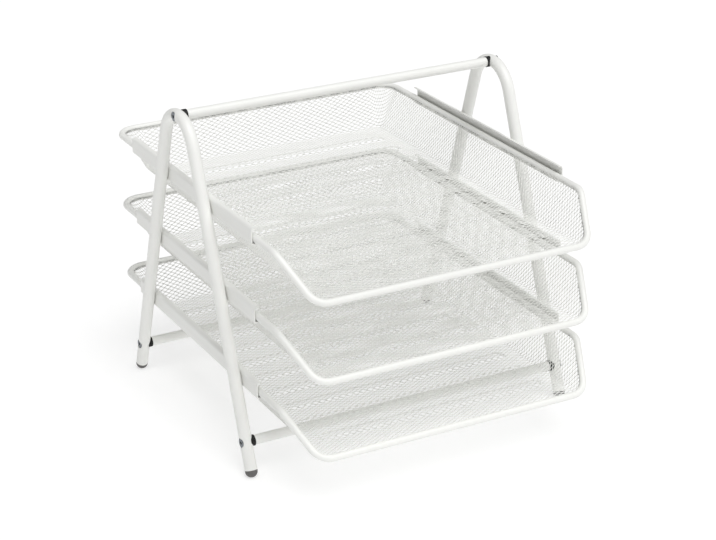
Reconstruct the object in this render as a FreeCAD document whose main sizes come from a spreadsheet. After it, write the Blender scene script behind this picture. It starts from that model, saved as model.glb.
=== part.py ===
import FreeCAD, Part
import math
import os
import re
import Sketcher
from FreeCAD import Placement, Rotation, Vector

# A stack of three sliding document trays on two bent-tube side frames.
# X is the width, -Y the front that the trays slide out of, +Z up; the feet stand on z = 0.
# The origin is on the floor under the middle of the trays.

# Driving sizes, in millimetres and degrees
SIZES = {
    # side frames
    "tube_diameter": 10.0,
    "tube_wall": 1.2,
    "crown_height": 262.2,
    "crown_bend": 28.5,
    "leg_splay": 19.65,
    "frame_set_back": 10.2,
    # crossbars and what fastens them
    "bar_diameter": 8.0,
    "bar_wall": 0.8,
    "low_bar_height": 26.4,
    "spacer_diameter": 9.0,
    "spacer_web": 1.6,
    "spacer_wing": 2.4,
    "bolt_diameter": 4.0,
    "bolt_reach": 10.0,
    "bolt_head_diameter": 7.6,
    "bolt_head_edge": 0.4,
    "bolt_sink": 0.6,
    "socket_flats": 2.5,
    "socket_depth": 1.2,
    "insert_length": 12.0,
    # feet
    "foot_collar": 1.0,
    "foot_flat": 0.5,
    "foot_stem": 9.0,
    # rails
    "rail_sheet": 0.8,
    "rail_length": 235.0,
    "rail_rise": 9.4,
    "rail_top_flange": 4.0,
    "rail_top_bend": 3.0,
    "rail_low_flange": 5.0,
    "rail_low_bend": 0.7,
    "tray_pitch": 63.5,
    # trays
    "rim_wire": 5.6,
    "rim_width": 264.2,
    "rim_depth": 350.5,
    "rear_corner_bend": 17.0,
    "front_corner_bend": 15.0,
    "kink_bend": 13.3,
    "kink_to_front": 35.4,
    "front_drop": 30.4,
    "pan_drop": 32.5,
    "wall_lean": 26.0,
    "wall_inset": 2.7,
    "pan_sheet": 0.8,
    "pan_bend": 4.0,
    "floor_corner": 1.5,
    "rib_pitch": 29.5,
    "rib_end_gap": 12.0,
    "rib_margin": 20.0,
    "rib_base": 12.0,
    "rib_crest": 7.0,
    "rib_height": 1.6,
    "opening_pitch": 18.0,
    "opening_web": 3.0,
    # fits
    "weld_seat": 0.05,
    "bolt_play": 0.2,
    "thread_play": 0.05,
    "press_play": 0.03,
    "seat_play": 0.05,
    "side_play": 0.6,
    "rim_float": 0.3,
    "bar_clearance": 8.6,
}

# Places that follow from the driving sizes
DERIVED = {
    "tube_radius": "tube_diameter / 2",
    "frame_x": "rim_width / 2 + rim_wire / 2 + side_play + rail_sheet + weld_seat + tube_radius",
    "bend_end_y": "crown_bend * cos(leg_splay)",
    "bend_end_z": "crown_height - crown_bend + crown_bend * sin(leg_splay)",
    "leg_end_z": "foot_collar * cos(leg_splay) + tube_radius - foot_flat",
    "leg_end_y": "bend_end_y + (bend_end_z - leg_end_z) * tan(leg_splay)",
    "low_bar_y": "bend_end_y + (bend_end_z - low_bar_height) * tan(leg_splay)",
    "bar_end_x": "frame_x - tube_radius - spacer_web",
    "bar_bore": "bar_diameter - 2 * bar_wall",
    "bolt_bore": "bolt_diameter + 2 * bolt_play",
    "bolt_length": "tube_diameter - bolt_sink + spacer_web + bolt_reach",
    "bolt_cone": "(bolt_head_diameter - bolt_diameter) / 2",
    "front_lean": "front_drop * tan(wall_lean)",
    "rim_front_y": "-rim_depth / 2",
    "rim_rear_y": "rim_depth / 2",
    "kink_y": "rim_front_y + kink_to_front",
    "wall_front_y": "rim_front_y - front_lean",
    "bend_middle": "pan_bend + pan_sheet / 2",
    "bend_climb": "pan_drop - pan_sheet - pan_bend + bend_middle * sin(wall_lean)",
    "wall_gap": "wall_inset / cos(wall_lean)",
    "bend_inset": "bend_middle * cos(wall_lean) + bend_climb * tan(wall_lean) + wall_gap",
    "low_tray_height": "low_bar_height + bar_diameter / 2 + bar_clearance + pan_drop",
    "floor_rear_y": "rim_rear_y - bend_inset",
    "floor_front_y": "wall_front_y + bend_inset",
    "floor_half_x": "rim_width / 2 - bend_inset",
    "rib_length": "2 * (floor_half_x - rib_end_gap)",
    "rib_count": "floor((floor_rear_y - floor_front_y - 2 * rib_margin) / rib_pitch) + 1",
    "first_rib_y": "(floor_rear_y + floor_front_y) / 2 - (rib_count - 1) / 2 * rib_pitch",
    "opening_count": "floor((2 * floor_half_x - opening_web) / opening_pitch)",
    "first_opening_x": "-(opening_count - 1) / 2 * opening_pitch",
    "opening_half_x": "(opening_pitch - opening_web) / 2",
    "wall_opening_low": "-pan_drop + pan_sheet + pan_bend + opening_web",
    "wall_opening_high": "-rim_wire / 2 - opening_web",
}

AXIS_X = Vector(1, 0, 0)
AXIS_Y = Vector(0, 1, 0)
AXIS_Z = Vector(0, 0, 1)
SIDES = {"left": -1, "right": 1}
ENDS = {"front": -1, "rear": 1}
TRAYS = ("bottom", "middle", "top")

doc = FreeCAD.newDocument("document_trays")
sub_parts = []


def make_sheet():
    """One row for each driving size, named by its alias."""
    sheet = doc.addObject("Spreadsheet::Sheet", "sizes")
    for row, (name, value) in enumerate(SIZES.items(), start=1):
        sheet.set(f"A{row}", name)
        sheet.set(f"B{row}", str(value))
        sheet.setAlias(f"B{row}", name)
    doc.recompute()
    return sheet


sheet = make_sheet()


def formula(text):
    """An expression on the sheet's cells, from the plain names of sizes and derived places."""
    def swap(match):
        word = match.group(0)
        if word in SIZES:
            return f"sizes.{word}"
        if word in DERIVED:
            return f"({formula(DERIVED[word])})"
        return word
    return re.sub(r"[a-z_]+", swap, str(text))


def value(text):
    """The number that an expression on the sheet comes to."""
    return float(sheet.evalExpression(formula(text)))


def bind(thing, prop, text):
    """Ties one property to an expression."""
    thing.setExpression(prop, formula(text))


def place(thing, x="0", y="0", z="0", turn=0.0, about=AXIS_Z):
    """Puts a piece at bound coordinates, turned by a fixed angle about an axis."""
    thing.Placement = Placement(Vector(), Rotation(about, turn))
    for axis, text in zip("xyz", (x, y, z)):
        bind(thing, f"Placement.Base.{axis}", text)


def keep(thing, label):
    """Names a finished piece, whose label is its node."""
    thing.Label = label
    sub_parts.append(thing)
    return thing


# Sketch helpers

def new_body(name):
    return doc.addObject("PartDesign::Body", name)


def origin_part(body, role):
    return next(part for part in body.Origin.OriginFeatures if part.Role == role)


def sketch_on(body, name, role, lift="0"):
    """A sketch on one of the body's own origin planes, lifted along the plane's normal."""
    sketch = body.newObject("Sketcher::SketchObject", name)
    sketch.AttachmentSupport = [(origin_part(body, role), "")]
    sketch.MapMode = "FlatFace"
    bind(sketch, "AttachmentOffset.Base.z", lift)
    return sketch


def pin(sketch, geometry, end, x, y):
    """Holds one point of a sketch at bound coordinates."""
    for kind, text in (("DistanceX", x), ("DistanceY", y)):
        index = sketch.addConstraint(Sketcher.Constraint(kind, -1, 1, geometry, end, value(text)))
        bind(sketch, f"Constraints[{index}]", text)


def point(pair):
    return Vector(value(pair[0]), value(pair[1]), 0)


def add_line(sketch, start, end):
    return sketch.addGeometry(Part.LineSegment(point(start), point(end)))


def add_arc(sketch, start, end, centre, radius):
    """An arc from start to end about a centre, on the side of the shorter way round."""
    mid = (point(start) + point(end)) * 0.5
    out = mid - point(centre)
    out.normalize()
    top = point(centre) + out * value(radius)
    return sketch.addGeometry(Part.Arc(point(start), top, point(end)))


def add_outline(sketch, corners):
    """A closed outline. A corner is (x, y), or (x, y, centre, radius) where an arc leads on from it."""
    add_chain(sketch, corners + corners[:1])


def add_chain(sketch, corners):
    """Lines and arcs from corner to corner, as in an outline, closed where the last corner is the first."""
    closed = corners[0] is corners[-1]
    pieces, ends = [], []
    for corner, following in zip(corners, corners[1:]):
        if len(corner) == 4:
            pieces.append(add_arc(sketch, corner, following, corner[2], corner[3]))
            hold_radius(sketch, pieces[-1], corner[3])
        else:
            pieces.append(add_line(sketch, corner, following))
        ends.append(piece_ends(sketch, pieces[-1], corner))
        pin(sketch, pieces[-1], ends[-1][0], corner[0], corner[1])
    if closed:
        pieces.append(pieces[0])
        ends.append(ends[0])
    else:
        pin(sketch, pieces[-1], ends[-1][1], corners[-1][0], corners[-1][1])
    for index in range(len(pieces) - 1):
        joint = (pieces[index], ends[index][1], pieces[index + 1], ends[index + 1][0])
        sketch.addConstraint(Sketcher.Constraint("Coincident", *joint))


def hold_radius(sketch, arc, radius):
    index = sketch.addConstraint(Sketcher.Constraint("Radius", arc, value(radius)))
    bind(sketch, f"Constraints[{index}]", radius)


def piece_ends(sketch, piece, corner):
    """Which of a line's or arc's two ends comes first along the outline."""
    start = sketch.getPoint(piece, 1)
    gap = start.distanceToPoint(point(corner))
    return (1, 2) if gap < 1e-6 else (2, 1)


def add_circle(sketch, x, y, diameter):
    circle = Part.Circle(point((x, y)), AXIS_Z, value(diameter) / 2)
    index = sketch.addGeometry(circle)
    pin(sketch, index, 3, x, y)
    size = sketch.addConstraint(Sketcher.Constraint("Diameter", index, value(diameter)))
    bind(sketch, f"Constraints[{size}]", diameter)


def rounded_rectangle(sketch, half_x, front, rear, radius):
    """A rectangle from front to rear with four equal round corners."""
    right, left = f"({half_x})", f"-({half_x})"
    inner_right, inner_left = f"{right} - ({radius})", f"{left} + ({radius})"
    low, high = f"({front}) + ({radius})", f"({rear}) - ({radius})"
    add_outline(sketch, [
        (inner_left, front),
        (inner_right, front, (inner_right, low), radius),
        (right, low),
        (right, high, (inner_right, high), radius),
        (inner_right, rear),
        (inner_left, rear, (inner_left, high), radius),
        (left, high),
        (left, low, (inner_left, low), radius),
    ])


# Feature helpers

def pad(body, name, sketch, length):
    """A pad to both sides of its sketch."""
    feature = body.newObject("PartDesign::Pad", name)
    feature.Profile = sketch
    feature.SideType = "Symmetric"
    bind(feature, "Length", length)
    return feature


def cut_through(body, name, sketch):
    """A pocket right through, to both sides of its sketch."""
    feature = body.newObject("PartDesign::Pocket", name)
    feature.Profile = sketch
    feature.SideType = "Symmetric"
    feature.Type = "ThroughAll"
    return feature


def revolve(body, name, sketch, axis_role):
    feature = body.newObject("PartDesign::Revolution", name)
    feature.Profile = sketch
    feature.ReferenceAxis = (origin_part(body, axis_role), [""])
    feature.Angle = 360.0
    return feature


def cylinder_on_x(name, diameter, length, start_x, y, z):
    """A plain cylinder along X, from its bound start."""
    rod = doc.addObject("Part::Cylinder", name)
    bind(rod, "Radius", f"({diameter}) / 2")
    bind(rod, "Height", length)
    place(rod, start_x, y, z, 90.0, AXIS_Y)
    return rod


def cut(name, base, tool):
    feature = doc.addObject("Part::Cut", name)
    feature.Base = base
    feature.Tool = tool
    return feature


# Where each crossbar lies, and which way the tube leans that it is bolted to

BARS = {
    "top": ("frame_set_back", "crown_height", 0),
    "front": ("frame_set_back - low_bar_y", "low_bar_height", -1),
    "rear": ("frame_set_back + low_bar_y", "low_bar_height", 1),
}


# Side frames: half a bent tube, mirrored, then drilled and countersunk for the bolts

def side_frame(side):
    body = new_body(f"{side}_frame_body")
    path = sketch_on(body, f"{side}_frame_path", "YZ_Plane")
    add_chain(path, [
        ("0", "crown_height", ("0", "crown_height - crown_bend"), "crown_bend"),
        ("bend_end_y", "bend_end_z"),
        ("leg_end_y", "leg_end_z"),
    ])
    ring = sketch_on(body, f"{side}_frame_ring", "XZ_Plane")
    add_circle(ring, "0", "crown_height", "tube_diameter")
    add_circle(ring, "0", "crown_height", "tube_diameter - 2 * tube_wall")
    tube = body.newObject("PartDesign::AdditivePipe", f"{side}_frame_tube")
    tube.Profile = ring
    tube.Spine = (path, ["Edge1", "Edge2"])
    doc.recompute()
    other_leg = body.newObject("PartDesign::Mirrored", f"{side}_frame_mirror")
    other_leg.Originals = [tube]
    other_leg.MirrorPlane = (origin_part(body, "XZ_Plane"), [""])
    body.Tip = other_leg
    doc.recompute()
    holes = sketch_on(body, f"{side}_frame_holes", "YZ_Plane")
    for y, z in (("0", "crown_height"), ("low_bar_y", "low_bar_height"), ("-low_bar_y", "low_bar_height")):
        add_circle(holes, y, z, "bolt_bore")
    cut_through(body, f"{side}_frame_drilling", holes)
    place(body, f"{SIDES[side]} * frame_x", "frame_set_back")
    frame = body
    for bar in BARS:
        frame = cut(f"{bar}_{side}_sinking", frame, bolt_seat(bar, side))
    keep(frame, f"{side}_side_frame")


def bolt_seat(bar, side):
    """The room that a bolt's head takes in the tube's outer wall, open outwards."""
    name = f"{bar}_{side}_bolt_seat"
    body = new_body(f"{name}_body")
    profile = sketch_on(body, f"{name}_profile", "XZ_Plane")
    wide, narrow = "bolt_head_diameter / 2 + seat_play", "bolt_bore / 2"
    bottom = f"-bolt_head_edge - ({wide} - {narrow})"
    add_outline(profile, [
        (bottom, "0"),
        ("tube_radius", "0"),
        ("tube_radius", wide),
        ("-bolt_head_edge", wide),
        (bottom, narrow),
    ])
    revolve(body, f"{name}_turned", profile, "X_Axis")
    place_bolt(body, bar, side)
    return body


def place_bolt(body, bar, side):
    """Puts a bolt, or its seat, with the head's face a little below the tube's outer side."""
    y, z, _ = BARS[bar]
    turn = 0.0 if side == "right" else 180.0
    place(body, f"{SIDES[side]} * (frame_x + tube_radius - bolt_sink)", y, z, turn)


# Feet: a stem in the leg's end, a collar and a dome, cut flat where it stands

def foot(end, side):
    name = f"{end}_{side}_foot"
    body = new_body(f"{name}_body")
    profile = sketch_on(body, f"{name}_profile", "XZ_Plane")
    stem = "tube_radius - tube_wall - press_play"
    add_outline(profile, [
        ("0", "foot_stem"),
        ("0", "-foot_collar - tube_radius", ("0", "-foot_collar"), "tube_radius"),
        ("tube_radius", "-foot_collar"),
        ("tube_radius", "0"),
        (stem, "0"),
        (stem, "foot_stem"),
    ])
    revolve(body, f"{name}_turned", profile, "Z_Axis")
    place(body, f"{SIDES[side]} * frame_x", f"frame_set_back + {ENDS[end]} * leg_end_y", "leg_end_z",
          ENDS[end] * SIZES["leg_splay"], AXIS_X)
    bind(body, "Placement.Rotation.Angle", f"{ENDS[end]} * leg_splay")
    ground = doc.addObject("Part::Box", f"{name}_ground")
    for prop in ("Length", "Width", "Height"):
        bind(ground, prop, "4 * tube_diameter")
    place(ground, f"{SIDES[side]} * frame_x - 2 * tube_diameter",
          f"frame_set_back + {ENDS[end]} * leg_end_y - 2 * tube_diameter", "-4 * tube_diameter")
    keep(cut(f"{name}_flat", body, ground), name)


# Crossbars, with an insert, a spacer and a bolt at each end

def crossbar(bar):
    y, z, _ = BARS[bar]
    body = new_body(f"{bar}_crossbar_body")
    ring = sketch_on(body, f"{bar}_crossbar_ring", "YZ_Plane")
    add_circle(ring, "0", "0", "bar_diameter")
    add_circle(ring, "0", "0", "bar_bore")
    pad(body, f"{bar}_crossbar_tube", ring, "2 * bar_end_x")
    place(body, "0", y, z)
    keep(body, f"{bar}_crossbar")


def insert(bar, side):
    """A plain bush pressed into the bar's end, with the bolt's thread as a bore."""
    y, z, _ = BARS[bar]
    name = f"{bar}_{side}_insert"
    start = "bar_end_x - insert_length" if side == "right" else "-bar_end_x"
    blank = cylinder_on_x(f"{name}_blank", "bar_bore - 2 * press_play", "insert_length", start, y, z)
    bore = cylinder_on_x(f"{name}_bore", "bolt_diameter + 2 * thread_play", "insert_length", start, y, z)
    keep(cut(f"{name}_bored", blank, bore), name)


def frame_tube_tool(name, bar, side):
    """The run of frame tube that a spacer saddles: bent at the crown, straight on a leg."""
    y, z, lean = BARS[bar]
    if lean == 0:
        tool = doc.addObject("Part::Torus", name)
        bind(tool, "Radius1", "crown_bend")
        bind(tool, "Radius2", "tube_radius + seat_play")
        place(tool, f"{SIDES[side]} * frame_x", y, f"{z} - crown_bend", 90.0, AXIS_Y)
        return tool
    tool = doc.addObject("Part::Cylinder", name)
    bind(tool, "Radius", "tube_radius + seat_play")
    bind(tool, "Height", "4 * tube_diameter")
    half = "2 * tube_diameter"
    place(tool, f"{SIDES[side]} * frame_x", f"({y}) + {lean} * {half} * sin(leg_splay)",
          f"({z}) - {half} * cos(leg_splay)", lean * SIZES["leg_splay"], AXIS_X)
    bind(tool, "Placement.Rotation.Angle", f"{lean} * leg_splay")
    return tool


def spacer(bar, side):
    y, z, _ = BARS[bar]
    name = f"{bar}_{side}_spacer"
    long = "spacer_web + spacer_wing"
    start = "bar_end_x" if side == "right" else f"-bar_end_x - ({long})"
    blank = cylinder_on_x(f"{name}_blank", "spacer_diameter", long, start, y, z)
    bore = cylinder_on_x(f"{name}_bore", "bolt_bore", long, start, y, z)
    bored = cut(f"{name}_bored", blank, bore)
    keep(cut(f"{name}_saddle", bored, frame_tube_tool(f"{name}_tube", bar, side)), name)


def bolt(bar, side):
    """A countersunk head with a hexagon socket on a plain shank that points inwards."""
    name = f"{bar}_{side}_bolt"
    body = new_body(f"{name}_body")
    profile = sketch_on(body, f"{name}_profile", "XZ_Plane")
    add_outline(profile, [
        ("-bolt_length", "0"),
        ("0", "0"),
        ("0", "bolt_head_diameter / 2"),
        ("-bolt_head_edge", "bolt_head_diameter / 2"),
        ("-bolt_head_edge - bolt_cone", "bolt_diameter / 2"),
        ("-bolt_length", "bolt_diameter / 2"),
    ])
    revolve(body, f"{name}_turned", profile, "X_Axis")
    doc.recompute()
    hexagon = sketch_on(body, f"{name}_hexagon", "YZ_Plane")
    reach = "socket_flats / sqrt(3)"
    add_outline(hexagon, [(f"{reach} * cos({60 * k})", f"{reach} * sin({60 * k})") for k in range(6)])
    socket = body.newObject("PartDesign::Pocket", f"{name}_socket")
    socket.Profile = hexagon
    bind(socket, "Length", "socket_depth")
    place_bolt(body, bar, side)
    keep(body, name)


# Rails: a channel with a round top, open towards the trays, on the inner side of the legs

def tray_height(tray):
    return f"low_tray_height + {TRAYS.index(tray)} * tray_pitch"


def rail(tray, side):
    name = f"{tray}_{side}_rail"
    body = new_body(f"{name}_body")
    profile = sketch_on(body, f"{name}_profile", "XZ_Plane")
    inner = "rim_wire / 2 + side_play"
    outer = f"{inner} + rail_sheet"
    high, low = "rail_rise", "-(rim_wire / 2 + rim_float + rail_sheet)"
    top_bend = (f"{outer} - rail_top_bend", f"{high} - rail_top_bend")
    low_bend = (f"{outer} - rail_low_bend", f"{low} + rail_low_bend")
    add_outline(profile, [
        (low_bend[0], low, low_bend, "rail_low_bend"),
        (outer, low_bend[1]),
        (outer, top_bend[1], top_bend, "rail_top_bend"),
        (top_bend[0], high),
        (f"{outer} - rail_top_flange", high),
        (f"{outer} - rail_top_flange", f"{high} - rail_sheet"),
        (top_bend[0], f"{high} - rail_sheet", top_bend, "rail_top_bend - rail_sheet"),
        (inner, top_bend[1]),
        (inner, f"{low} + rail_sheet"),
        (f"{outer} - rail_low_flange", f"{low} + rail_sheet"),
        (f"{outer} - rail_low_flange", low),
    ])
    pad(body, f"{name}_channel", profile, "rail_length")
    place(body, f"{SIDES[side]} * rim_width / 2", "frame_set_back", tray_height(tray),
          0.0 if side == "right" else 180.0)
    keep(body, name)


# Tray rims: one closed wire of straight runs and bends, level at the sides and back, low at the front

def rim_corners():
    """The corners where the wire's straight runs would meet, each with its bend."""
    half, front_half = value("rim_width / 2"), value("rim_width / 2 - front_lean")
    rear, kink, front = value("rim_rear_y"), value("kink_y"), value("rim_front_y")
    drop = -value("front_drop")
    right = [
        (Vector(half, rear, 0), value("rear_corner_bend")),
        (Vector(half, kink, 0), value("kink_bend")),
        (Vector(front_half, front, drop), value("front_corner_bend")),
    ]
    left = [(Vector(-corner.x, corner.y, corner.z), bend) for corner, bend in reversed(right)]
    return right + left


def bend_points(before, corner, after, radius):
    """Where a bend of the given radius leaves one run, its middle, and where it joins the next."""
    back = (before - corner).normalize()
    on = (after - corner).normalize()
    half_angle = back.getAngle(on) / 2
    run = radius / math.tan(half_angle)
    towards = (back + on).normalize()
    middle = corner + towards * (radius / math.sin(half_angle) - radius)
    return corner + back * run, middle, corner + on * run


def rim_path():
    """The wire's centre line, starting in the middle of its back run."""
    corners = rim_corners()
    places = [corner for corner, _ in corners]
    start = (places[0] + places[-1]) * 0.5
    edges, last = [], start
    for index, (corner, bend) in enumerate(corners):
        before = places[index - 1]
        after = places[(index + 1) % len(places)]
        enter, middle, leave = bend_points(before, corner, after, bend)
        edges.append(Part.LineSegment(last, enter).toShape())
        edges.append(Part.Arc(enter, middle, leave).toShape())
        last = leave
    edges.append(Part.LineSegment(last, start).toShape())
    return Part.Wire(edges)


def wire_solid(diameter):
    """A round wire of one diameter along the rim's path."""
    path = rim_path()
    ring = Part.Wire(Part.makeCircle(diameter / 2, path.Vertexes[0].Point, AXIS_X))
    return path.makePipeShell([ring], True, False)


def tray_rim(tray):
    wire = doc.addObject("Part::Feature", f"{tray}_rim_wire")
    wire.Shape = wire_solid(value("rim_wire"))
    place(wire, z=tray_height(tray))
    keep(wire, f"{tray}_tray_rim")


# Tray pans: a leaning wall swept round a floor, cut low at the front, ribbed, opened as a grid, and seated
# against the inner side of its wire

def pan_shell(body, tray):
    """The dish: a leaning wall swept round half the floor, mirrored, and closed by the floor."""
    rear, front, half = "floor_rear_y", "floor_front_y", "floor_half_x"
    radius = "floor_corner"
    path = sketch_on(body, f"{tray}_pan_path", "XY_Plane", "-pan_drop")
    across, high, low = f"{half} - ({radius})", f"{rear} - ({radius})", f"{front} + {radius}"
    add_chain(path, [
        ("0", rear),
        (across, rear, (across, high), radius),
        (half, high),
        (half, low, (across, low), radius),
        (across, front),
        ("0", front),
    ])
    wall = body.newObject("PartDesign::AdditivePipe", f"{tray}_pan_wall")
    wall.Profile = wall_section(body, tray, rear)
    wall.Spine = (path, [f"Edge{number}" for number in range(1, 6)])
    doc.recompute()
    other_half = body.newObject("PartDesign::Mirrored", f"{tray}_pan_mirror")
    other_half.Originals = [wall]
    other_half.MirrorPlane = (origin_part(body, "YZ_Plane"), [""])
    body.Tip = other_half
    doc.recompute()
    floor = sketch_on(body, f"{tray}_pan_floor_outline", "XY_Plane", "-pan_drop")
    rounded_rectangle(floor, half, front, rear, radius)
    plate = body.newObject("PartDesign::Pad", f"{tray}_pan_floor")
    plate.Profile = floor
    bind(plate, "Length", "pan_sheet")
    doc.recompute()


def wall_section(body, tray, rear):
    """The wall's section at the middle of the back: the bend up from the floor, then the leaning sheet."""
    section = sketch_on(body, f"{tray}_pan_section", "YZ_Plane")
    centre = (rear, "-pan_drop + pan_sheet + pan_bend")
    top = "2 * rim_wire"

    def bend_end(bend):
        return f"{centre[0]} + ({bend}) * cos(wall_lean)", f"{centre[1]} - ({bend}) * sin(wall_lean)"

    def wall_top(bend):
        y, z = bend_end(bend)
        return f"{y} + ({top} - ({z})) * tan(wall_lean)", top

    inner, outer = "pan_bend", "pan_bend + pan_sheet"
    add_outline(section, [
        (rear, "-pan_drop", centre, outer),
        bend_end(outer),
        wall_top(outer),
        wall_top(inner),
        (*bend_end(inner), centre, inner),
        (rear, "-pan_drop + pan_sheet"),
    ])
    return section


def pan_front(body, tray):
    """Cuts the front down to the line of the rim's slope and low front."""
    side_view = sketch_on(body, f"{tray}_pan_front_line", "YZ_Plane")
    beyond = "wall_front_y - 2 * rim_wire"
    add_outline(side_view, [
        ("rim_rear_y + 2 * rim_wire", "0"),
        ("rim_rear_y + 2 * rim_wire", "2 * rim_wire"),
        (beyond, "2 * rim_wire"),
        (beyond, "-front_drop"),
        ("rim_front_y", "-front_drop"),
        ("kink_y", "0"),
    ])
    cut_through(body, f"{tray}_pan_front_cut", side_view)
    doc.recompute()


def pan_ribs(body, tray):
    """Ribs pressed up across the floor, one sheet thick all over, repeated from front to rear."""
    top, under = "-pan_drop + pan_sheet", "-pan_drop"
    sides = []
    for name, base, rise in (("rib", top, "0"), ("groove", under, "pan_sheet")):
        section = sketch_on(body, f"{tray}_pan_{name}_section", "YZ_Plane")
        foot_half, crest_half = f"(rib_base / 2 - {rise} / 2)", f"(rib_crest / 2 - {rise} / 2)"
        add_outline(section, [
            (f"first_rib_y - {foot_half}", base),
            (f"first_rib_y + {foot_half}", base),
            (f"first_rib_y + {crest_half}", f"{base} + rib_height"),
            (f"first_rib_y - {crest_half}", f"{base} + rib_height"),
        ])
        sides.append(section)
    crest = pad(body, f"{tray}_pan_rib", sides[0], "rib_length")
    doc.recompute()
    groove = body.newObject("PartDesign::Pocket", f"{tray}_pan_groove")
    groove.Profile = sides[1]
    groove.SideType = "Symmetric"
    bind(groove, "Length", "rib_length - 2 * pan_sheet")
    doc.recompute()
    rows = body.newObject("PartDesign::LinearPattern", f"{tray}_pan_ribs")
    rows.Originals = [crest, groove]
    rows.Direction = (origin_part(body, "Y_Axis"), [""])
    rows.Mode = "Spacing"
    bind(rows, "Offset", "rib_pitch")
    bind(rows, "Occurrences", "rib_count")
    body.Tip = rows
    doc.recompute()


def rectangle(sketch, x, y, half_x, half_y):
    """A rectangle about its middle."""
    left, right = f"{x} - {half_x}", f"{x} + {half_x}"
    low, high = f"{y} - {half_y}", f"{y} + {half_y}"
    add_outline(sketch, [(left, low), (right, low), (right, high), (left, high)])


def repeat(body, name, hole, steps):
    """Repeats one opening along the axes named, each with its spacing and count."""
    grid = body.newObject("PartDesign::MultiTransform", name)
    grid.Originals = [hole]
    grid.Refine = False
    rows = []
    for axis, spacing, count in steps:
        row = body.newObject("PartDesign::LinearPattern", f"{name}_{axis[0].lower()}")
        row.Direction = (origin_part(body, axis), [""])
        row.Mode = "Spacing"
        bind(row, "Offset", spacing)
        bind(row, "Occurrences", count)
        rows.append(row)
    grid.Transformations = rows
    body.Tip = grid
    doc.recompute()


def pan_openings(body, tray):
    """A coarse grid of openings in the floor between the ribs, in the back and in both sides."""
    across = ("X_Axis", "opening_pitch", "opening_count")
    between_ribs = ("Y_Axis", "rib_pitch", "rib_count + 1")
    along = ("Y_Axis", "rib_pitch", "rib_count - 1")
    x, half_x = "first_opening_x", "opening_half_x"
    gap_y, gap_half = "(first_rib_y - rib_pitch / 2)", "(rib_pitch - rib_base - opening_web) / 2"
    side_y, side_half = "(first_rib_y + rib_pitch / 2)", "(rib_pitch - opening_web) / 2"
    z = "(wall_opening_low + wall_opening_high) / 2"
    half_z = "(wall_opening_high - wall_opening_low) / 2"
    views = {
        "floor": ("XY_Plane", (x, gap_y, half_x, gap_half), [across, between_ribs]),
        "back": ("XZ_Plane", (x, z, half_x, half_z), [across]),
        "side": ("YZ_Plane", (side_y, z, side_half, half_z), [along]),
    }
    for view, (plane, form, steps) in views.items():
        sketch = sketch_on(body, f"{tray}_pan_{view}_opening", plane)
        rectangle(sketch, *form)
        hole = cut_through(body, f"{tray}_pan_{view}_hole", sketch)
        doc.recompute()
        repeat(body, f"{tray}_pan_{view}_grid", hole, steps)


def tray_pan(tray):
    body = new_body(f"{tray}_pan_body")
    pan_shell(body, tray)
    doc.recompute()
    pan_front(body, tray)
    pan_ribs(body, tray)
    pan_openings(body, tray)
    place(body, z=tray_height(tray))
    seat = doc.addObject("Part::Feature", f"{tray}_pan_seat")
    seat.Shape = wire_solid(value("rim_wire + 2 * seat_play"))
    place(seat, z=tray_height(tray))
    keep(cut(f"{tray}_pan_seated", body, seat), f"{tray}_tray_pan")


def build():
    """Every sub-part, from the frames to the trays."""
    for side in SIDES:
        side_frame(side)
    for end in ENDS:
        for side in SIDES:
            foot(end, side)
    for bar in BARS:
        crossbar(bar)
        for side in SIDES:
            insert(bar, side)
            spacer(bar, side)
            bolt(bar, side)
    for tray in TRAYS:
        for side in SIDES:
            rail(tray, side)
        tray_rim(tray)
        tray_pan(tray)
    doc.recompute()


def check():
    """Stops before anything is written if an object failed or a shape is empty or unsound."""
    for thing in doc.Objects:
        if "Invalid" in thing.State or "Error" in thing.State:
            raise RuntimeError(f"{thing.Name} failed: {thing.State}")
    for thing in sub_parts:
        if thing.Shape.isNull() or not thing.Shape.isValid():
            raise RuntimeError(f"{thing.Label} has no sound shape")


def write():
    os.makedirs("parts", exist_ok=True)
    for thing in sub_parts:
        thing.Shape.exportStep(f"parts/{thing.Label}.step")
        box = thing.Shape.optimalBoundingBox(False)
        corners = (box.XMin, box.YMin, box.ZMin, box.XMax, box.YMax, box.ZMax)
        rounded = " ".join(f"{c:.2f}" for c in corners)
        print(f"{thing.Label}: {len(thing.Shape.Solids)} solid, {thing.Shape.Volume:.1f} mm3, {rounded}")


build()
check()
write()
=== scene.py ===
import logging
import math
from dataclasses import dataclass, field
from enum import Enum
from typing import Any

import bpy
import numpy as np
from mathutils import Matrix, Vector


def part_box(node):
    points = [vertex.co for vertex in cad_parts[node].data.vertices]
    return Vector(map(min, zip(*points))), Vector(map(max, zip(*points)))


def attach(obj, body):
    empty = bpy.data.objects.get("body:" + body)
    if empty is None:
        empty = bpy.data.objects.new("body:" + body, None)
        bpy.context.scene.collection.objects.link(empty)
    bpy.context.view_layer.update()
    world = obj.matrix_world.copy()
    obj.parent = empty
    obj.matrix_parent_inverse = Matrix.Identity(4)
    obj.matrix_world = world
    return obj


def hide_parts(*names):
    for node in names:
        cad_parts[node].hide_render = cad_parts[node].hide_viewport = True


# A stack of three mesh document trays on two bent-tube side frames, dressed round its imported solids.
# Sizes are in metres, angles in radians; X is the width, -Y the front, +Z up.

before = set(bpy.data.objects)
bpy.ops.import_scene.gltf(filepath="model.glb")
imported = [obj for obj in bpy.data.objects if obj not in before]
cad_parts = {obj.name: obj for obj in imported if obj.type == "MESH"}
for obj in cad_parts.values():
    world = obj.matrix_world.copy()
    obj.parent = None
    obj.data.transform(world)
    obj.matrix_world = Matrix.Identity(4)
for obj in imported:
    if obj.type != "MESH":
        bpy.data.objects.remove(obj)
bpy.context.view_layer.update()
log = logging.getLogger("document_trays")

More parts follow.
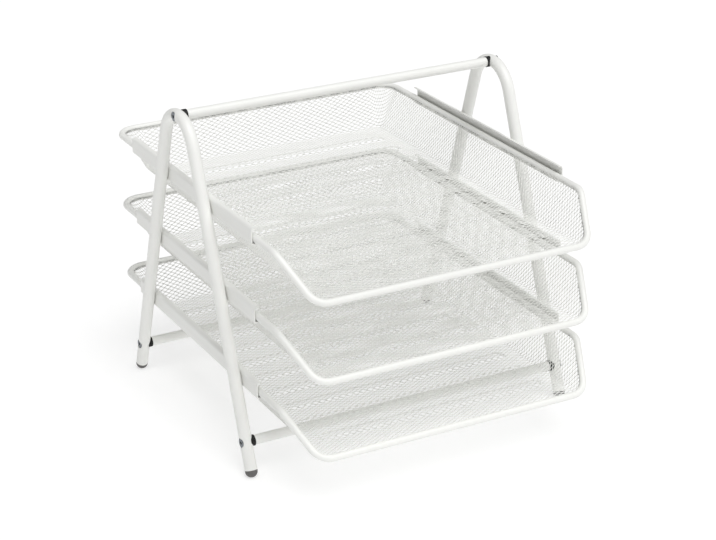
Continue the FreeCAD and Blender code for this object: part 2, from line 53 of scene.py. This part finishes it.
Colour = tuple[float, float, float, float]
SIDES = ("left", "right")
TRAYS = ("bottom", "middle", "top")
BARS = ("top", "front", "rear")
ENDS = ("front", "rear")

# The point attribute that is 1 at the cut ends of the strands and 0 away from them, where the mesh's coat
# paints the shade under the rim wire
CUT_END = "cut_end"

# The sockets of a Mix node that blends colours
MIX_SHARE, MIX_FIRST, MIX_SECOND, MIX_RESULT = 0, 6, 7, 2

# Corners of one opening of the mesh, and as many faces round it on each side of the sheet
CORNERS = 6

# A number too small to matter, and one far beyond any length of the part
TINY, FAR = 1e-12, 1e3


# Shader maths

class Value:
    """One socket of a node tree, whose operators add Math nodes."""

    def __init__(self, shader: "Shader", socket: bpy.types.NodeSocket) -> None:
        """Wraps an output socket.

        Args:
            shader: the material that the socket belongs to.
            socket: the output socket.
        """
        self.shader = shader
        self.socket = socket

    def math(self, operation: str, *others: "Value | float") -> "Value":
        """Adds one Math node.

        Args:
            operation: the node's operation.
            others: the values after this one.

        Returns:
            The node's result.
        """
        sockets = dict(enumerate((self, *others)))
        return self.shader.node("ShaderNodeMath", {"operation": operation}, sockets)

    def __add__(self, other: "Value | float") -> "Value":
        """The sum."""
        return self.math("ADD", other)

    __radd__ = __add__

    def __mul__(self, other: "Value | float") -> "Value":
        """The product."""
        return self.math("MULTIPLY", other)

    __rmul__ = __mul__

    def __sub__(self, other: "Value | float") -> "Value":
        """The difference."""
        return self.math("SUBTRACT", other)

    def __rsub__(self, other: float) -> "Value":
        """The difference from a plain number."""
        return (self * -1.0) + other

    def clamp(self) -> "Value":
        """The value, kept between 0 and 1."""
        return self.math("MAXIMUM", 0.0).math("MINIMUM", 1.0)

    def span(self, low: float, high: float) -> "Value":
        """Stretches a value between 0 and 1 over a range.

        Args:
            low: the result at 0.
            high: the result at 1.

        Returns:
            The stretched value.
        """
        return self * (high - low) + low


class Shader:
    """One material's node tree, with its Principled shader."""

    def __init__(self, name: str) -> None:
        """Makes an empty material.

        Args:
            name: the material's name.
        """
        self.material = bpy.data.materials.new(name)
        self.material.use_nodes = True
        self.tree = self.material.node_tree
        self.surface = next(n for n in self.tree.nodes if n.type == "BSDF_PRINCIPLED")

    def node(self, kind: str, settings: dict[str, Any], sockets: dict[Any, Any], out: Any = 0) -> Value:
        """Adds any node.

        Args:
            kind: the node's type.
            settings: its properties, which are set first.
            sockets: numbers, colours or values for its inputs.
            out: which output is wanted.

        Returns:
            The wanted output.
        """
        made = self.tree.nodes.new(kind)
        for name, setting in settings.items():
            setattr(made, name, setting)
        for name, given in sockets.items():
            self.feed(made.inputs[name], given)
        return Value(self, made.outputs[out])

    def feed(self, socket: bpy.types.NodeSocket, given: Any) -> None:
        """Links a value to a socket, or sets a plain number or colour on it.

        Args:
            socket: the input.
            given: the value, number or colour.
        """
        if isinstance(given, Value):
            self.tree.links.new(given.socket, socket)
        else:
            socket.default_value = given

    def set(self, **inputs: Any) -> None:
        """Feeds the Principled shader's inputs, named with underscores for spaces.

        Args:
            inputs: a value, number or colour for each input.
        """
        for name, given in inputs.items():
            self.feed(self.surface.inputs[name.replace("_", " ")], given)

    def noise(self, cell: float, detail: float = 2.0) -> Value:
        """Soft noise fixed to the piece.

        Args:
            cell: the size of its patches, in metres.
            detail: how many finer layers it has.

        Returns:
            A value between 0 and 1.
        """
        place = self.node("ShaderNodeTexCoord", {}, {}, "Object")
        sockets = {"Vector": place, "Scale": 1 / cell, "Detail": detail}
        return self.node("ShaderNodeTexNoise", {}, sockets, "Fac")

    def mix(self, share: Value, first: Value | Colour, second: Value | Colour) -> Value:
        """Blends two colours.

        Args:
            share: how much of the second shows.
            first: the colour at 0.
            second: the colour at 1.

        Returns:
            The blended colour.
        """
        sockets = {MIX_SHARE: share, MIX_FIRST: first, MIX_SECOND: second}
        return self.node("ShaderNodeMix", {"data_type": "RGBA"}, sockets, MIX_RESULT)

    def bump(self, height: Value, depth: float, strength: float) -> None:
        """Lets a height field shade the surface.

        Args:
            height: the field.
            depth: the height of its full range, in metres.
            strength: how much of it shows.
        """
        sockets = {"Height": height, "Distance": depth, "Strength": strength}
        self.set(Normal=self.node("ShaderNodeBump", {}, sockets))


def grey(level: float, warmth: float = 0.0) -> Colour:
    """A neutral colour, a little warmer or cooler.

    Args:
        level: its brightness.
        warmth: what is added to red and taken from blue.

    Returns:
        The colour.
    """
    return (level + warmth, level, level - warmth, 1.0)


# Finishes

@dataclass(frozen=True)
class PowderCoat:
    """Baked white powder paint with a faint orange peel."""

    name: str
    pale: Colour = (0.905, 0.908, 0.882, 1.0)
    deep: Colour = (0.875, 0.878, 0.848, 1.0)
    cloud: float = 0.03
    cloud_detail: float = 3.0
    peel: float = 0.0007
    peel_detail: float = 1.0
    peel_depth: float = 0.00003
    peel_strength: float = 0.25
    peel_share: float = 0.5
    roughness: tuple[float, float] = (0.36, 0.46)

    def build(self) -> bpy.types.Material:
        """Makes the material.

        Returns:
            The material.
        """
        shader = Shader(self.name)
        cloud = shader.noise(self.cloud, self.cloud_detail)
        peel = shader.noise(self.peel, self.peel_detail)
        rough = cloud * (1 - self.peel_share) + peel * self.peel_share
        shader.set(Base_Color=shader.mix(cloud, self.pale, self.deep))
        shader.set(Roughness=rough.span(*self.roughness))
        shader.bump(peel, self.peel_depth, self.peel_strength)
        return shader.material


@dataclass(frozen=True)
class StrandCoat:
    """The same paint on the thin strands of the mesh, a little paler as painted light, with painted shade on
    the cut ends under the rim.
    """

    name: str
    # pale and deep are a little paler than the same paint on the tubes: painted light that brightens the thin
    # strands
    pale: Colour = (0.920, 0.923, 0.895, 1.0)
    deep: Colour = (0.880, 0.883, 0.852, 1.0)
    # painted shade: near black, standing for the shaded crevice between the strands' cut ends and the rim
    # wire
    rim_crevice_shade: Colour = (0.070, 0.070, 0.072, 1.0)
    cloud: float = 0.012
    patch: float = 0.009
    patch_detail: float = 1.0
    patch_contrast: float = 4.0
    patch_start: float = 1.5
    roughness: tuple[float, float] = (0.40, 0.50)

    def build(self) -> bpy.types.Material:
        """Makes the material.

        Returns:
            The material.
        """
        shader = Shader(self.name)
        cloud = shader.noise(self.cloud)
        end = shader.node("ShaderNodeAttribute", {"attribute_name": CUT_END}, {}, "Fac")
        # the patches break the painted shade into dashes along the rim
        patches = shader.noise(self.patch, self.patch_detail) * self.patch_contrast - self.patch_start
        # painted shade under the rim wire, strongest at the cut ends
        painted_rim_shade = patches.clamp() * end * end
        paint = shader.mix(cloud, self.pale, self.deep)
        shader.set(Base_Color=shader.mix(painted_rim_shade, paint, self.rim_crevice_shade))
        shader.set(Roughness=cloud.span(*self.roughness))
        return shader.material


@dataclass(frozen=True)
class ZincPlate:
    """Zinc on turned steel, a bluish grey with fine lathe marks."""

    name: str
    bright: Colour = (0.19, 0.21, 0.23, 1.0)
    dull: Colour = (0.06, 0.07, 0.08, 1.0)
    mark: float = 0.0004
    roughness: tuple[float, float] = (0.16, 0.30)

    def build(self) -> bpy.types.Material:
        """Makes the material.

        Returns:
            The material.
        """
        shader = Shader(self.name)
        marks = shader.noise(self.mark)
        shader.set(Base_Color=shader.mix(marks, self.bright, self.dull), Metallic=1.0)
        shader.set(Roughness=marks.span(*self.roughness))
        return shader.material


@dataclass(frozen=True)
class MouldedPlastic:
    """Moulded plastic or rubber with a fine matt grain."""

    name: str
    pale: Colour
    deep: Colour
    grain: float = 0.0005
    grain_depth: float = 0.00004
    grain_strength: float = 0.4
    roughness: tuple[float, float] = (0.42, 0.58)
    gloss: float = 0.2

    def build(self) -> bpy.types.Material:
        """Makes the material.

        Returns:
            The material.
        """
        shader = Shader(self.name)
        grain = shader.noise(self.grain)
        shader.set(Base_Color=shader.mix(grain, self.pale, self.deep), Specular_IOR_Level=self.gloss)
        shader.set(Roughness=grain.span(*self.roughness))
        shader.bump(grain, self.grain_depth, self.grain_strength)
        return shader.material


class Finish(Enum):
    """The part's finishes, by the record's slots."""

    WHITE_COAT = "white_coat"
    WHITE_MESH = "white_mesh"
    BRIGHT_ZINC = "bright_zinc"
    BLACK_PLASTIC = "black_plastic"
    GREY_RUBBER = "grey_rubber"


FINISHES = {
    Finish.WHITE_COAT: PowderCoat("white_powder_coat").build(),
    Finish.WHITE_MESH: StrandCoat("white_mesh_coat").build(),
    Finish.BRIGHT_ZINC: ZincPlate("bright_zinc_plate").build(),
    Finish.BLACK_PLASTIC: MouldedPlastic("black_spacer_plastic", grey(0.012), grey(0.02)).build(),
    Finish.GREY_RUBBER: MouldedPlastic("grey_foot_rubber", grey(0.17, 0.004), grey(0.12, 0.004)).build(),
}


def coat(piece: bpy.types.Object, finish: Finish) -> None:
    """Gives a piece one finish.

    Args:
        piece: the piece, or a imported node's object.
        finish: the finish.
    """
    piece.data.materials.clear()
    piece.data.materials.append(FINISHES[finish])


def dress(node: str, finish: Finish) -> None:
    """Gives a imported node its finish.

    Args:
        node: the node's name.
        finish: the finish.
    """
    coat(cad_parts[node], finish)
    log.info("%s: %s", node, finish.value)


# The stand

@dataclass
class Stand:
    """The two bent-tube side frames, the crossbars with what fastens them, the feet and the rails."""

    def build(self) -> None:
        """Dresses every node of the stand."""
        for side in SIDES:
            dress(f"{side}_side_frame", Finish.WHITE_COAT)
            for end in ENDS:
                dress(f"{end}_{side}_foot", Finish.GREY_RUBBER)
            for tray in TRAYS:
                dress(f"{tray}_{side}_rail", Finish.WHITE_COAT)
        for bar in BARS:
            dress(f"{bar}_crossbar", Finish.WHITE_COAT)
            for side in SIDES:
                dress(f"{bar}_{side}_insert", Finish.BRIGHT_ZINC)
                dress(f"{bar}_{side}_spacer", Finish.BLACK_PLASTIC)
                dress(f"{bar}_{side}_bolt", Finish.BRIGHT_ZINC)


# The trays

@dataclass
class PanForm:
    """The pressed form of a pan, over its flat blank: a ribbed floor, a bend and leaning walls up to the rim.

    The blank's two coordinates are X and Y on the floor, and go on as the length of sheet up the walls. What
    lies past the rim is squeezed to a short share of its length, so that it stays under the wire.
    """

    tray: str
    wire: float = 0.0056
    sheet: float = 0.0008
    bend: float = 0.004
    wall_lean: float = math.radians(26)
    wall_inset: float = 0.0027
    floor_corner: float = 0.0015
    rear_corner: float = 0.017
    front_corner: float = 0.015
    kink_corner: float = 0.0133
    kink_to_front: float = 0.0354
    rib_pitch: float = 0.0295
    rib_margin: float = 0.020
    rib_end_gap: float = 0.012
    rib_base: float = 0.012
    rib_crest: float = 0.007
    rib_height: float = 0.0016
    squeeze: float = 0.15
    arc_steps: int = 12

    def __post_init__(self) -> None:
        """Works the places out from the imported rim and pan."""
        rim_low, rim_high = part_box(f"{self.tray}_tray_rim")
        pan_low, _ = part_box(f"{self.tray}_tray_pan")
        self.level = rim_high.z - self.wire / 2
        self.half_width = rim_high.x - self.wire / 2
        self.rear = rim_high.y - self.wire / 2
        self.front = rim_low.y + self.wire / 2
        self.drop = rim_high.z - rim_low.z - self.wire
        self.floor_z = pan_low.z + self.sheet / 2 - self.level
        self.radius = self.bend + self.sheet / 2
        self.turn = math.pi / 2 - self.wall_lean
        self.arc = self.radius * self.turn
        self.arc_reach = self.radius * math.sin(self.turn)
        self.arc_climb = self.radius * (1 - math.cos(self.turn))
        self.front_lean = self.drop * math.tan(self.wall_lean)
        self.gap = self.wall_inset / math.cos(self.wall_lean)
        inset = self.arc_reach - (self.floor_z + self.arc_climb) * math.tan(self.wall_lean) + self.gap
        self.floor_half = self.half_width - inset
        self.floor_rear = self.rear - inset
        self.floor_front = self.front - self.front_lean + inset
        self.rim = self.rim_line()
        depth = self.floor_rear - self.floor_front
        count = math.floor((depth - 2 * self.rib_margin) / self.rib_pitch) + 1
        middle = (self.floor_rear + self.floor_front) / 2
        self.ribs = [middle + (k - (count - 1) / 2) * self.rib_pitch for k in range(count)]

    def rim_line(self) -> np.ndarray:
        """The rim wire's centre line, with its rim level at zero.

        Returns:
            Points along the closed line.
        """
        half, low = self.half_width, self.half_width - self.front_lean
        kink = self.front + self.kink_to_front
        right = [
            (Vector((half, self.rear, 0)), self.rear_corner),
            (Vector((half, kink, 0)), self.kink_corner),
            (Vector((low, self.front, -self.drop)), self.front_corner),
        ]
        corners = right + [(Vector((-p.x, p.y, p.z)), r) for p, r in reversed(right)]
        line: list[Vector] = []
        for k, (corner, radius) in enumerate(corners):
            back = (corners[k - 1][0] - corner).normalized()
            on = (corners[(k + 1) % len(corners)][0] - corner).normalized()
            line += self.corner_arc(corner, back, on, radius)
        return np.array([*line, line[0]])

    def corner_arc(self, corner: Vector, back: Vector, on: Vector, radius: float) -> list[Vector]:
        """The bend of a wire where two straight runs would meet.

        Args:
            corner: where the runs would meet.
            back: the way back along the run before.
            on: the way on along the run after.
            radius: the bend's radius.

        Returns:
            Points along the bend.
        """
        half = back.angle(on) / 2
        middle = corner + (back + on).normalized() * (radius / math.sin(half))
        first = corner + back * (radius / math.tan(half)) - middle
        square = back * -radius
        sweep = math.pi - 2 * half
        turns = [sweep * k / self.arc_steps for k in range(self.arc_steps + 1)]
        return [middle + first * math.cos(a) + square * math.sin(a) for a in turns]

    def outline(self, u: np.ndarray, v: np.ndarray) -> tuple[np.ndarray, np.ndarray, np.ndarray]:
        """Where points of the blank lie about the floor's outline, a rectangle with round corners.

        Args:
            u: the points' X on the blank.
            v: their Y.

        Returns:
            Their distance outside it, the way out from it, and their nearest points on it.
        """
        points = np.stack([u, v - (self.floor_rear + self.floor_front) / 2], -1)
        half = np.array([self.floor_half, (self.floor_rear - self.floor_front) / 2]) - self.floor_corner
        past = np.abs(points) - half
        round_part = np.maximum(past, 0)
        far = np.linalg.norm(round_part, axis=-1)
        inside = np.minimum(past.max(-1), 0)
        flat = np.eye(2)[past.argmax(-1)]
        way = np.where(far[:, None] > 0, round_part / np.maximum(far, TINY)[:, None], flat)
        way = way * np.where(points < 0, -1, 1)
        distance = far + inside - self.floor_corner
        nearest = np.stack([u, v], -1) - way * distance[:, None]
        return distance, way, nearest

    def climb(self, length: np.ndarray) -> tuple[np.ndarray, np.ndarray, np.ndarray]:
        """The wall's section, by the length of sheet from the floor.

        Args:
            length: the lengths.

        Returns:
            The reach outwards, the height above the floor and the slope's angle there.
        """
        angle = np.clip(length, 0, self.arc) / self.radius
        straight = np.maximum(length - self.arc, 0)
        reach = self.radius * np.sin(angle) + straight * math.cos(self.turn)
        height = self.radius * (1 - np.cos(angle)) + straight * math.sin(self.turn)
        return reach, height, angle

    def rim_above(self, nearest: np.ndarray, way: np.ndarray) -> np.ndarray:
        """Where the sheet ends, straight out from each point of the floor's outline and just inside the wire.

        Args:
            nearest: the points on the outline.
            way: the way out from each.

        Returns:
            The sheet's last points.
        """
        start, step = self.rim[:-1], np.diff(self.rim, axis=0)
        to_start = start[None, :, :2] - nearest[:, None, :]
        cross = way[:, None, 0] * step[None, :, 1] - way[:, None, 1] * step[None, :, 0]
        cross = np.where(np.abs(cross) < TINY, TINY, cross)
        along = (to_start[..., 1] * way[:, None, 0] - to_start[..., 0] * way[:, None, 1]) / -cross
        out = (to_start * way[:, None, :]).sum(-1) + along * (step[None, :, :2] * way[:, None, :]).sum(-1)
        off_middle = np.abs(along - 0.5) + np.where(out > 0, 0, FAR)
        best = off_middle.argmin(1)
        rows = np.arange(len(nearest))
        share = np.clip(along[rows, best], 0, 1)
        rim = start[best] + step[best] * share[:, None]
        rim[:, :2] -= way * self.gap
        return rim

    def lengths_to_rim(self, rim: np.ndarray) -> np.ndarray:
        """How much sheet reaches from the floor to each point of the rim.

        Args:
            rim: the rim's points.

        Returns:
            The lengths.
        """
        height = rim[:, 2] - self.floor_z
        bent = np.arccos(np.clip(1 - height / self.radius, -1, 1)) * self.radius
        leaning = self.arc + (height - self.arc_climb) / math.cos(self.wall_lean)
        return np.where(height < self.arc_climb, bent, leaning)

    def overhang(self, u: np.ndarray, v: np.ndarray) -> np.ndarray:
        """How far points of the blank lie past the rim.

        Args:
            u: the points' X on the blank.
            v: their Y.

        Returns:
            The lengths of sheet past the rim, less than zero inside it.
        """
        distance, way, nearest = self.outline(u, v)
        over = distance - self.lengths_to_rim(self.rim_above(nearest, way))
        return np.where(distance > 0, over, -FAR)

    def rib_lift(self, u: np.ndarray, v: np.ndarray) -> tuple[np.ndarray, np.ndarray]:
        """How far the ribs raise the floor.

        Args:
            u: the points' X.
            v: their Y.

        Returns:
            The lift and its slope along Y.
        """
        lift, slope = np.zeros_like(u), np.zeros_like(u)
        flank = (self.rib_base - self.rib_crest) / 2
        end = np.clip((self.floor_half - self.rib_end_gap - np.abs(u)) / flank, 0, 1)
        for rib in self.ribs:
            off = v - rib
            share = np.clip((self.rib_base / 2 - np.abs(off)) / flank, 0, 1)
            # a smooth step up the flank, and its derivative
            lift += share * share * (3 - 2 * share) * self.rib_height * end
            slope -= np.sign(off) * 6 * share * (1 - share) / flank * self.rib_height * end
        return lift, slope

    def place(self, u: np.ndarray, v: np.ndarray, lift: np.ndarray) -> np.ndarray:
        """Carries points of the blank to the pressed pan.

        Args:
            u: the points' X on the blank.
            v: their Y.
            lift: how far each stands off the middle of the sheet, towards the inside.

        Returns:
            The points, with the rim's level at zero.
        """
        distance, way, nearest = self.outline(u, v)
        rim = self.rim_above(nearest, way)
        whole = self.lengths_to_rim(rim)
        over = np.maximum(distance - whole, 0)
        length = np.clip(distance, 0, whole) + over * self.squeeze
        reach, height, angle = self.climb(length)
        rib, slope = self.rib_lift(u, v)
        on_wall = distance > 0
        base = np.where(on_wall[:, None], nearest, np.stack([u, v], -1))
        points = np.column_stack([base + way * reach[:, None], self.floor_z + height + rib * ~on_wall])
        edge_reach, edge_height, _ = self.climb(whole)
        edge = np.column_stack([nearest + way * edge_reach[:, None], self.floor_z + edge_height])
        share = np.clip(distance / whole, 0, 1) * on_wall
        points += (rim - edge) * share[:, None]
        floor_normal = np.column_stack([np.zeros_like(u), -slope, np.ones_like(u)])
        floor_normal /= np.linalg.norm(floor_normal, axis=1)[:, None]
        wall_normal = np.column_stack([-way * np.sin(angle)[:, None], np.cos(angle)])
        return points + np.where(on_wall[:, None], wall_normal, floor_normal) * lift[:, None]


@dataclass(frozen=True)
class ExpandedSheet:
    """Expanded steel mesh: a sheet slit in staggered rows and drawn open, so strands meet at short bonds.

    The drawing tilts each bond out of the sheet. Openings are laid out over a blank with some sheet to spare
    all round, and kept where their middle is no further than edge_keep past the rim.
    """

    long_way: float = 0.00612
    short_way: float = 0.00356
    strand: float = 0.0006
    thickness: float = 0.0005
    bond_height: float = 0.0013
    tilt: float = 0.00015
    spare: float = 0.045
    edge_keep: float = 0.0012
    # end_length: how far in from the cut ends the painted shade under the rim reaches
    end_length: float = 0.0022

    def cells(self, form: PanForm) -> tuple[np.ndarray, np.ndarray]:
        """The openings that the pan's blank holds, by column and row of half cells.

        Args:
            form: the pressed form.

        Returns:
            Their columns and rows.
        """
        half_u, half_v = self.long_way / 2, self.short_way / 2
        across = math.ceil((form.floor_half + self.spare) / half_u)
        low = math.floor((form.floor_front - self.spare) / half_v)
        high = math.ceil((form.floor_rear + self.spare) / half_v)
        column, row = np.meshgrid(np.arange(-across, across + 1), np.arange(low, high + 1), indexing="ij")
        column, row = column.ravel(), row.ravel()
        odd = (column + row) % 2 == 1
        column, row = column[odd], row[odd]
        kept = form.overhang(column * half_u, row * half_v) < self.edge_keep
        return column[kept], row[kept]

    def opening(self) -> np.ndarray:
        """The six corners of one opening about its middle, with how far each stands off the sheet's middle.

        Returns:
            Their offsets along X and Y, and their lift.
        """
        half_u, half_v = self.long_way / 2, self.short_way / 2
        slant = math.atan2(half_v, half_u)
        tip = half_u - self.strand / 2 / math.sin(slant)
        peak = half_v - self.strand / 2 / math.cos(slant)
        flat = half_v - self.bond_height / 2
        wide = tip * (1 - flat / peak)
        return np.array([
            (tip, 0, 0), (wide, flat, -self.tilt), (-wide, flat, -self.tilt),
            (-tip, 0, 0), (-wide, -flat, self.tilt), (wide, -flat, self.tilt),
        ])

    def mesh(self, name: str, form: PanForm) -> bpy.types.Mesh:
        """Makes the drawn sheet, pressed to the pan's form.

        Args:
            name: the mesh's name.
            form: the pressed form.

        Returns:
            The closed mesh.
        """
        half = np.array([self.long_way, self.short_way]) / 2
        column, row = self.cells(form)
        around = [(1, 0), (0, 1), (-1, 0), (0, -1)]
        keys = np.stack([np.stack([column + i, row + j], -1) for i, j in around], 1)
        bonds, bond = np.unique(keys.reshape(-1, 2), axis=0, return_inverse=True)
        bond = bond.reshape(-1, 4)
        count, cells = len(bonds), len(column)
        corners = self.opening()
        hole = np.stack([column, row], -1)[:, None, :] * half + corners[None, :, :2]
        flat = np.concatenate([bonds * half, bonds * half, hole.reshape(-1, 2)])
        ridge = np.full(count, self.thickness / 2)
        lift = np.concatenate([ridge, -ridge, np.tile(corners[:, 2], cells)])
        points = form.place(flat[:, 0], flat[:, 1], lift)
        inner = 2 * count + np.arange(CORNERS * cells).reshape(cells, CORNERS)
        faces = self.faces(bond, inner, count) + self.closing(bond, count)
        made = bpy.data.meshes.new(name)
        made.from_pydata(points.tolist(), [], faces)
        made.shade_smooth()
        made.update()
        self.lay_out(made, flat, 2 * CORNERS * cells)
        # marks the cut ends under the rim, where the mesh's coat paints shade
        past_rim = form.overhang(flat[:, 0], flat[:, 1])
        ends = made.attributes.new(CUT_END, "FLOAT", "POINT")
        ends.data.foreach_set("value", np.clip(1 + past_rim / self.end_length, 0, 1))
        return made

    def lay_out(self, made: bpy.types.Mesh, flat: np.ndarray, ringed: int) -> None:
        """Lays both sides of the mesh out as flat blanks, side by side on one map.

        Args:
            made: the mesh.
            flat: where each point lies on the blank.
            ringed: how many faces lie round the openings, by turns on the top and under it.
        """
        low, high = flat.min(0), flat.max(0)
        half_map = 0.5
        scale = half_map / (high - low).max()
        loop_points = np.zeros(len(made.loops), dtype=np.int32)
        made.loops.foreach_get("vertex_index", loop_points)
        loop_counts = np.zeros(len(made.polygons), dtype=np.int32)
        made.polygons.foreach_get("loop_total", loop_counts)
        side = np.arange(len(made.polygons)) // CORNERS % 2
        side[ringed:] = 0
        places = (flat[loop_points] - low) * scale
        places[:, 0] += np.repeat(side, loop_counts) * half_map
        layer = made.uv_layers.new(name="OFBake")
        layer.data.foreach_set("uv", places.ravel())

    def faces(self, bond: np.ndarray, inner: np.ndarray, under: int) -> list[tuple[int, ...]]:
        """The faces round every opening, on both sides of the sheet.

        Args:
            bond: the four bonds about each opening.
            inner: the six corners of each opening.
            under: what turns a bond's top point into the one under it.

        Returns:
            The faces, by their points.
        """
        made: list[tuple[int, ...]] = []
        for (e, n, w, s), (te, ne, nw, tw, sw, se) in zip(bond.tolist(), inner.tolist()):
            rings = (
                (e, n, ne, te), (n, nw, ne), (n, w, tw, nw),
                (w, s, sw, tw), (s, se, sw), (s, e, te, se),
            )
            made += rings
            low = {p: p + under for p in (e, n, w, s)}
            made += [tuple(low.get(p, p) for p in reversed(ring)) for ring in rings]
        return made

    def closing(self, bond: np.ndarray, under: int) -> list[tuple[int, ...]]:
        """Narrow faces that close the sheet's cut edge, inside the rim.

        Args:
            bond: the four bonds about each opening.
            under: what turns a bond's top point into the one under it.

        Returns:
            The faces, by their points.
        """
        edges = [pair for ring in bond.tolist() for pair in zip(ring, ring[1:] + ring[:1])]
        used = set(edges)
        return [(b, a, a + under, b + under) for a, b in edges if (b, a) not in used]


@dataclass
class Tray:
    """One sliding tray: its bent-wire rim and the mesh pan welded inside it."""

    name: str
    sheet: ExpandedSheet = field(default_factory=ExpandedSheet)

    def build(self) -> None:
        """Dresses the rim and makes the mesh pan."""
        body = f"{self.name}_tray"
        dress(f"{body}_rim", Finish.WHITE_COAT)
        form = PanForm(self.name)
        pan = bpy.data.objects.new(f"{body}_mesh", self.sheet.mesh(f"{body}_mesh", form))
        bpy.context.scene.collection.objects.link(pan)
        pan.location.z = form.level
        coat(pan, Finish.WHITE_MESH)
        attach(pan, body)
        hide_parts(f"{body}_pan")
        log.info("%s: %d faces", pan.name, len(pan.data.polygons))


# The studio

@dataclass
class Studio:
    """A pale floor that glows like a light table, an even sky, a wide lamp and the camera."""

    azimuth: float = math.radians(-27.23)
    elevation: float = math.radians(22.44)
    roll: float = math.radians(-0.97)
    distance: float = 1.70533
    target: Vector = field(default_factory=lambda: Vector((0.00813, 0.00543, 0.11955)))
    lens: float = 103.51
    sensor: float = 36.0
    shift: tuple[float, float] = (0.00339, -0.02570)
    floor_size: float = 400.0
    floor_colour: Colour = grey(0.50)
    floor_roughness: float = 0.7
    floor_glow: float = 0.58
    sky: float = 0.29
    lamp_side: Vector = field(default_factory=lambda: Vector((0.05, -0.45, 1.0)))
    lamp_spread: float = math.radians(50)
    lamp_power: float = 2.3

    def build(self) -> None:
        """Makes the floor, the lamp, the sky and the camera."""
        self.lay_floor()
        self.hang_lamp()
        world = bpy.data.worlds.new("studio_sky")
        world.use_nodes = True
        backdrop = world.node_tree.nodes["Background"]
        backdrop.inputs["Color"].default_value = grey(1.0)
        backdrop.inputs["Strength"].default_value = self.sky
        bpy.context.scene.world = world
        bpy.context.scene.view_settings.view_transform = "Standard"
        self.set_camera()

    def lay_floor(self) -> None:
        """Lays a wide pale floor under the feet."""
        half = self.floor_size / 2
        made = bpy.data.meshes.new("studio_floor")
        corners = [(-half, -half, 0), (half, -half, 0), (half, half, 0), (-half, half, 0)]
        made.from_pydata(corners, [], [(0, 1, 2, 3)])
        floor = bpy.data.objects.new("studio_floor", made)
        bpy.context.scene.collection.objects.link(floor)
        shader = Shader("pale_floor")
        shader.set(Base_Color=self.floor_colour, Roughness=self.floor_roughness)
        shader.set(Emission_Color=grey(1.0), Emission_Strength=self.floor_glow)
        made.materials.append(shader.material)

    def hang_lamp(self) -> None:
        """Hangs one wide, far lamp over the front, whose light is the same all over the floor."""
        data = bpy.data.lights.new("overhead_lamp", "SUN")
        data.angle = self.lamp_spread
        data.energy = self.lamp_power
        lamp = bpy.data.objects.new("overhead_lamp", data)
        lamp.location = self.target + self.lamp_side
        lamp.rotation_mode = "QUATERNION"
        lamp.rotation_quaternion = (-self.lamp_side).to_track_quat("-Z", "Y")
        bpy.context.scene.collection.objects.link(lamp)

    def set_camera(self) -> None:
        """Stands the camera at the photograph's angle."""
        level = math.cos(self.elevation)
        across, along = math.sin(self.azimuth) * level, -math.cos(self.azimuth) * level
        back = Vector((across, along, math.sin(self.elevation)))
        right = Vector((0, 0, 1)).cross(back).normalized()
        up = back.cross(right)
        cos, sin = math.cos(self.roll), math.sin(self.roll)
        axes = Matrix((right * cos + up * sin, up * cos - right * sin, back)).transposed()
        data = bpy.data.cameras.new("photo_camera")
        data.sensor_width = self.sensor
        data.lens = self.lens
        data.shift_x, data.shift_y = self.shift
        camera = bpy.data.objects.new("photo_camera", data)
        camera.matrix_world = Matrix.Translation(self.target + back * self.distance) @ axes.to_4x4()
        bpy.context.scene.collection.objects.link(camera)
        bpy.context.scene.camera = camera


def main() -> None:
    """Builds the stand, the trays and the studio in order."""
    logging.basicConfig(level=logging.INFO, format="%(name)s: %(message)s")
    Stand().build()
    for name in TRAYS:
        Tray(name).build()
    Studio().build()


if __name__ == "__main__":
    main()
